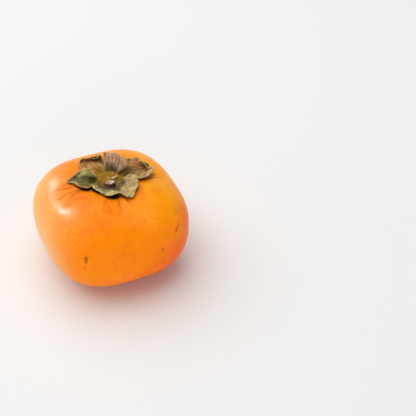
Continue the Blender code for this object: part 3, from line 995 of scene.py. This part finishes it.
# %% [markdown]
# ## The fused middle of the calyx
# The five sepals are one with a thick round middle, which carries the stem. A disc with a clean
# edge would look like a coin that lies on a flower, so this one is a round grid that drops onto
# whatever is under it: near its edge it lies on the sepals, takes their height and their colour,
# and its last ring dips into them.

# %% Make the middle
MIDDLE_REACH, MIDDLE_LIFT, MIDDLE_THICKNESS = 6.6, 1.20, 0.35 * MM
MIDDLE_RINGS, MIDDLE_SPOKES = 40, 144
DIP = 0.10


def on_the_sepals(x, y):
    """The highest sepal point over a place, with its colour, or None where there is none."""
    best = None
    for tree, mesh in sepal_trees:
        spot, _, face, _ = tree.ray_cast(Vector((x, y, 0.2)), Vector((0.0, 0.0, -1.0)))
        if spot and (best is None or spot.z > best[0]):
            corner = mesh.polygons[face].vertices[0]
            best = spot.z, tuple(mesh.attributes["tint"].data[corner].color)[:3]
    return best


def middle_grid():
    """The points of the middle from its centre to its edge, with their tints and outward shares."""
    points, tints, outwards = [], [], []
    for ring in range(MIDDLE_RINGS):
        share = ring / (MIDDLE_RINGS - 1)
        for spoke in range(MIDDLE_SPOKES):
            angle = 2.0 * math.pi * spoke / MIDDLE_SPOKES
            way = Vector((math.cos(angle), math.sin(angle), 0.0))
            wavy = 1.0 + 0.07 * noise.noise(way * 2.5) * share
            reach = max(share, 0.004) * MIDDLE_REACH * wavy
            x, y = CALYX_MIDDLE.x + way.x * reach * MM, CALYX_MIDDLE.y + way.y * reach * MM
            spot = Vector((x, y, 0.0)) / MM
            bumps = 0.16 * noise.noise(spot * 0.9) + 0.07 * noise.noise(spot * 2.6)
            height = float(skin_height([x], [y])[0]) + (MIDDLE_LIFT + bumps * (1.0 - share)) * MM
            patch = 0.5 + 0.5 * noise.noise(spot * 0.55 + Vector((3.0, 1.0, 0.0)))
            tint = np.array(GOLD_OLIVE) * (0.65 + 0.7 * patch)
            # The middle is darker brown towards its front, in front of the stub.
            stain = 0.7 * soft(-spot.y + 1.2 * noise.noise(spot * 0.7), -4.4, -1.2)
            tint = tint * (1 - stain) + np.array(NEAR_STUB_BROWN) * stain
            below = on_the_sepals(x, y) if reach > BASE_REACH + 0.1 else None
            if below:
                joined = soft(reach, BASE_REACH, BASE_REACH + 1.6)
                lying = below[0] + (0.09 * (1.0 - joined) - DIP * soft(share, 0.9, 1.0)) * MM
                height = max(height * (1.0 - joined) + lying * joined, lying)
                blended = soft(reach, BASE_REACH + 0.5, MIDDLE_REACH - 0.2)
                tint = tint * (1.0 - blended) + np.array(below[1]) * blended
            points.append((x, y, height))
            tints.append(tint)
            outwards.append(0.3 * share)
    return points, np.clip(np.array(tints), 0, 1), np.array(outwards)


def round_object(name, points, spokes, material, values=None):
    """A closed object from rings of points; the first and the last ring are closed with a fan."""
    rings = len(points) // spokes
    faces = []
    for ring in range(rings - 1):
        for spoke in range(spokes):
            after = (spoke + 1) % spokes
            a, b = ring * spokes, (ring + 1) * spokes
            faces.append((a + spoke, b + spoke, b + after, a + after))
    ends = [np.mean(points[:spokes], axis=0), np.mean(points[-spokes:], axis=0)]
    top, bottom = len(points), len(points) + 1
    for spoke in range(spokes):
        after = (spoke + 1) % spokes
        faces.append((top, spoke, after))
        faces.append((bottom, (rings - 1) * spokes + after, (rings - 1) * spokes + spoke))
    mesh = bpy.data.meshes.new(name)
    mesh.from_pydata([tuple(map(float, point)) for point in list(points) + ends], [], faces)
    mesh.materials.append(material)
    for key, row in (values or {}).items():
        store(mesh, key, np.concatenate([row, row[:1], row[-1:]]))
    mesh.shade_smooth()
    return add_object(name, mesh)


def there_and_back(row):
    """The values of the top's rings, followed by the same values from the edge to the centre."""
    return np.concatenate([row, row.reshape(MIDDLE_RINGS, MIDDLE_SPOKES, -1)[::-1].reshape(row.shape)])


middle_points, middle_tint, middle_outward = middle_grid()
middle_spots = there_and_back(np.array(middle_points))
middle_spots[len(middle_points):, 2] -= MIDDLE_THICKNESS
middle = round_object(
    "calyx_middle", list(middle_spots), MIDDLE_SPOKES, calyx_finish("calyx_middle_skin", 0.0),
    {"tint": there_and_back(middle_tint), "outward": there_and_back(middle_outward)})
print("calyx middle:", len(middle.data.polygons), "faces")

# %% [markdown]
# ## Crumbs on the calyx
# Bits of bark and dried petal always lie in the hollow of the calyx. They are small flat chips
# that a Geometry Nodes tree scatters over the faces that look up, each turned and sized by chance.
# The seed is fixed, so that they are the same each time.

# %% The tree that scatters chips on a piece
def chip_tree(name, material):
    lengths = {"Spacing": 0.9, "Size": 0.28, "Middle X": 0.0, "Middle Y": 0.0, "Reach": 5.2}
    inputs = {"Geometry": ("NodeSocketGeometry", None), "Seed": (INTEGER, 4)}
    inputs.update({key: (FLOAT, length * MM) for key, length in lengths.items()})
    tree, given, result = new_group(name, "GeometryNodeTree", inputs, {"Dressed": "NodeSocketGeometry"})
    x, y, _ = split(tree, out(tree.nodes.new("GeometryNodeInputPosition")))
    off_x, off_y = x - given["Middle X"], y - given["Middle Y"]
    near = (off_x * off_x + off_y * off_y).math("SQRT").math("LESS_THAN", given["Reach"])
    upward_face = split(tree, out(tree.nodes.new("GeometryNodeInputNormal")))[2].math("GREATER_THAN", 0.5)
    spread = add_node(tree, "GeometryNodeDistributePointsOnFaces", {
        "Mesh": given["Geometry"], "Selection": near * upward_face, "Distance Min": given["Spacing"],
        "Density Max": 9000000.0, "Seed": given["Seed"]}, distribute_method="POISSON")
    chip = add_node(tree, "GeometryNodeMeshIcoSphere", {"Radius": given["Size"], "Subdivisions": 2})
    turn = add_node(tree, "FunctionNodeRandomValue", data_type="FLOAT_VECTOR")
    turn.inputs["Max"].default_value = (6.28, 0.5, 6.28)
    size = add_node(tree, "FunctionNodeRandomValue", data_type="FLOAT_VECTOR")
    size.inputs["Min"].default_value = (0.35, 0.3, 0.15)
    size.inputs["Max"].default_value = (1.5, 0.8, 0.4)
    laid = add_node(tree, "GeometryNodeInstanceOnPoints", {
        "Points": out(spread, "Points"), "Instance": out(chip, "Mesh"),
        "Rotation": out(turn, "Value"), "Scale": out(size, "Value")})
    loose = add_node(tree, "GeometryNodeRealizeInstances", {"Geometry": out(laid)})
    dressed = add_node(tree, "GeometryNodeSetMaterial", {"Geometry": out(loose), "Material": material})
    both = tree.nodes.new("GeometryNodeJoinGeometry")
    for geometry in (given["Geometry"], out(dressed)):
        tree.links.new(geometry.socket, both.inputs[0])
    tree.links.new(both.outputs[0], result.inputs["Dressed"])
    return tree


def two_tone_finish(name, first, second, coarse, fine, fine_share, **constants):
    """A dull finish of two colours in blotches, for what is dry and old."""
    material, tree, shader = new_finish(name, Roughness=0.8, **constants)
    blotch = blotches(tree, object_place(tree), coarse, fine, fine_share)
    feed(tree, shader.inputs["Base Color"], mix_colours(tree, blotch, first, second))
    return material


crumbs = two_tone_finish("calyx_crumbs", (0.45, 0.25, 0.09), (0.07, 0.035, 0.015), 700.0, 2500.0, 0.3)
scatter = middle.modifiers.new("crumbs", "NODES")
scatter.node_group = chip_tree("scattered_crumbs", crumbs)
set_inputs(scatter, {"Spacing": 0.9 * MM, "Size": 0.26 * MM, "Middle X": CALYX_MIDDLE.x,
                     "Middle Y": CALYX_MIDDLE.y, "Reach": 5.2 * MM, "Seed": 4})
middle = freeze(middle)
print("calyx middle with its crumbs:", len(middle.data.polygons), "faces")

# %% [markdown]
# ## The stem stub
# The fruit is cut from the branch with a short stub of its stalk. Its foot flares into the calyx,
# its bark is ridged and nearly black where it is damp, and the cut end is a worn rim round paler
# wood with the open ends of its vessels. Pale worn patches on the cut end are painted nearly white,
# so that they also serve as painted highlights. It is turned like a spindle, from rings of points,
# and noise takes the roundness out of it.

# %% Make the stub
STUB_FOOT = Vector((0.7, -1.1)) * MM
STUB_LEAN = math.radians(-16)
STUB_SPOKES, STUB_RINGS = 96, 90
stub_foot_height = float(skin_height([STUB_FOOT.x], [STUB_FOOT.y])[0]) / MM + 1.0
# Each row is a radius and a height above the foot in millimetres, from the cut end down.
STUB_PROFILE = [
    (0.4, 2.02), (0.9, 1.98), (1.4, 1.92), (1.8, 1.92), (2.1, 2.02), (2.34, 2.14), (2.50, 2.10), (2.60, 1.94),
    (2.60, 1.65), (2.62, 1.3), (2.72, 0.95), (2.88, 0.6), (3.06, 0.35), (3.24, 0.12), (3.4, -0.02),
    (3.1, -0.15), (1.6, -0.2), (0.4, -0.2),
]


def stub_points():
    rows = through(STUB_PROFILE, np.linspace(0.0, 1.0, STUB_RINGS))
    points, cut = [], []
    lean = Matrix.Rotation(STUB_LEAN, 3, "X")
    for radius, height in rows:
        for spoke in range(STUB_SPOKES):
            angle = 2.0 * math.pi * spoke / STUB_SPOKES
            way = Vector((math.cos(angle), math.sin(angle), 0.0))
            side = soft(radius, 1.9, 2.4)
            ridge = 0.10 * noise.noise(way * 7.0 + Vector((0.0, 0.0, height * 0.5)))
            ridge += 0.16 * noise.noise(way * 1.6 + Vector((5.0, 0.0, height * 0.3)))
            ridge += 0.05 * noise.noise(way * 16.0 + Vector((0.0, 0.0, height)))
            chip = 0.16 * noise.noise(way * 3.0) + 0.07 * noise.noise(way * 9.0)
            top = soft(height, 1.4, 2.0)
            spot = way * (radius * (1.0 - 0.04 * top) + ridge * side)
            grain = 0.05 * noise.noise(spot * 3.0) * top
            spot.z = height + chip * top * side + grain
            spot = lean @ spot
            points.append(((STUB_FOOT.x / MM + spot.x) * MM, (STUB_FOOT.y / MM + spot.y) * MM,
                           (stub_foot_height + spot.z) * MM))
            cut.append(top * (1.0 - soft(radius, 2.1, 2.5)) if height > 1.8 else 0.0)
    return points, np.array(cut)


def bark_finish():
    material, tree, shader = new_finish("stem_bark", Specular_IOR_Level=0.22)
    place = object_place(tree)
    blotch = blotches(tree, place, 500.0, 1800.0, 0.5)
    cut = attribute(tree, "cut")
    bark = mix_colours(tree, blotch, (0.15, 0.045, 0.016), (0.030, 0.011, 0.005))
    # Pale worn patches on the cut end, nearly white: worn wood and painted highlights in one.
    worn_and_glint = noise_at(tree, place, 640.0).step(0.46, 0.55)
    wood = paint(tree, (0.62, 0.32, 0.16), [(blotch, (0.28, 0.10, 0.04)), (worn_and_glint, (0.97, 0.90, 0.80))])
    feed(tree, shader.inputs["Base Color"], mix_colours(tree, cut, bark, wood))
    feed(tree, shader.inputs["Roughness"], blotch * 0.25 + 0.36)
    add_bump(tree, shader, blotch, 0.0002)
    return material


stub_spots, stub_cut = stub_points()
stub = round_object("stem_stub_piece", stub_spots, STUB_SPOKES, bark_finish(), {"cut": stub_cut})
vessels = stub.modifiers.new("vessels", "NODES")
vessel_ends = two_tone_finish("vessel_ends", (0.10, 0.035, 0.015), (0.03, 0.012, 0.008), 900.0, 3000.0, 0.4,
                              Specular_IOR_Level=0.2)
vessels.node_group = chip_tree("wood_vessels", vessel_ends)
stub_top = Vector((STUB_FOOT.x, STUB_FOOT.y - math.sin(STUB_LEAN) * 2.0 * MM))
set_inputs(vessels, {"Spacing": 0.34 * MM, "Size": 0.085 * MM, "Middle X": stub_top.x, "Middle Y": stub_top.y,
                     "Reach": 1.9 * MM, "Seed": 9})
stub = freeze(stub)
made = np.array([vertex.co for vertex in stub.data.vertices]) / MM
print("stub from", made.min(0).round(2), "to", made.max(0).round(2), "mm")

# %% [markdown]
# ## The flake of bark and the tip of the old flower
# A flake of pale inner bark hangs on beside the stub: a thin curved strip. Underneath, in the
# dimple, sits the short dark rest of the flower's style.

# %% Make the flake and the style
FLAKE_FROM, FLAKE_TO = Vector((1.6, 2.75)), Vector((5.9, 4.15))
FLAKE_COLUMNS, FLAKE_ROWS = 49, 17
FLAKE_THICKNESS = 0.18 * MM
FLAKE_PALE, FLAKE_ROSE, FLAKE_RUST = (0.88, 0.72, 0.58), (0.62, 0.34, 0.25), (0.50, 0.11, 0.02)


def flake_sheet():
    shares = np.linspace(0, 1, FLAKE_ROWS), np.linspace(0, 1, FLAKE_COLUMNS)
    across, along = (share.ravel() for share in np.meshgrid(*shares, indexing="ij"))
    way = (FLAKE_TO - FLAKE_FROM).normalized()
    width = 0.62 * np.sin(np.pi * np.clip(along * 0.92 + 0.04, 0, 1)) ** 0.5 + 0.10 * rough(31, along * 6.0)
    off = (across - 0.5) * 2.0 * width
    centre_x = FLAKE_FROM.x + (FLAKE_TO.x - FLAKE_FROM.x) * along + 0.12 * rough(32, along * 3.0)
    centre_y = FLAKE_FROM.y + (FLAKE_TO.y - FLAKE_FROM.y) * along + 0.25 * np.sin(along * 3.1)
    x, y = centre_x - way.y * off, centre_y + way.x * off
    flake_floor = float(skin_height([3.6 * MM], [3.6 * MM])[0]) / MM + 1.75
    z = flake_floor + 0.25 + 0.45 * along**2 + 0.5 * off**2 + 0.06 * rough(33, along * 8.0, across * 2.0)
    tone = soft(rough(34, along * 5.0, across * 1.5), -0.3, 0.4)[:, None]
    end = soft(along, 0.66, 0.86)[:, None]
    pale, rose, rust = (np.array(colour) for colour in (FLAKE_PALE, FLAKE_ROSE, FLAKE_RUST))
    tint = (pale * tone + rose * (1 - tone)) * (1 - end) + rust * end
    return np.column_stack([x, y, z]) * MM, across, along, np.clip(tint, 0, 1)


flake_spots, flake_across, flake_along, flake_tint = flake_sheet()
flake = sheet_object("bark_flake_piece", flake_spots, FLAKE_COLUMNS, FLAKE_ROWS, flake_across, flake_along,
                     flake_tint, FLAKE_THICKNESS, calyx_finish("flake_bark", 0.0))
# Each row is a radius and a height in millimetres, from the tip up into the dimple.
STYLE_PROFILE = [
    (0.15, 0.32), (0.42, 0.34), (0.62, 0.42), (0.72, 0.56), (0.82, 0.72), (0.98, 0.88), (1.08, 1.0),
    (0.9, 1.04), (0.2, 1.04),
]
STYLE_SPOKES, STYLE_RINGS = 48, 36
style_spots = []
for radius, height in through(STYLE_PROFILE, np.linspace(0.0, 1.0, STYLE_RINGS)):
    for spoke in range(STYLE_SPOKES):
        angle = -2.0 * math.pi * spoke / STYLE_SPOKES
        way = Vector((math.cos(angle), math.sin(angle), 0.0))
        ragged = 0.10 * math.cos(4 * angle) + 0.16 * noise.noise(way * 3.0 + Vector((0, 0, height)))
        reach = radius * (1.0 + ragged)
        style_spots.append((way.x * reach * MM, way.y * reach * MM, height * MM))
style_finish = two_tone_finish("dry_style", (0.075, 0.035, 0.018), (0.018, 0.010, 0.007), 900.0, 3000.0, 0.4,
                               Specular_IOR_Level=0.2)
style = round_object("style_piece", style_spots, STYLE_SPOKES, style_finish)
print("flake and style made")

# %% [markdown]
# ## Everything rides the fruit
# No part of a persimmon moves against another, so all ten pieces ride the root. Each takes the
# place of its plain solid, which is hidden. The two boxes are written down, so that it can be
# checked that the finished fruit has kept its size.

# %% Hand the pieces over
PIECES = [(kaki, "fruit", "persimmon_skin"), (middle, "calyx_disc", "calyx_middle"),
          (stub, "stem_stub", "stem_bark"), (flake, "bark_flake", "stem_bark"),
          (style, "style_remnant", "dry_style")]
PIECES += [(piece, node, "dry_sepal") for node, piece in sepals.items()]
for piece, node, slot in PIECES:
    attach(piece, "root")
    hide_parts(node)
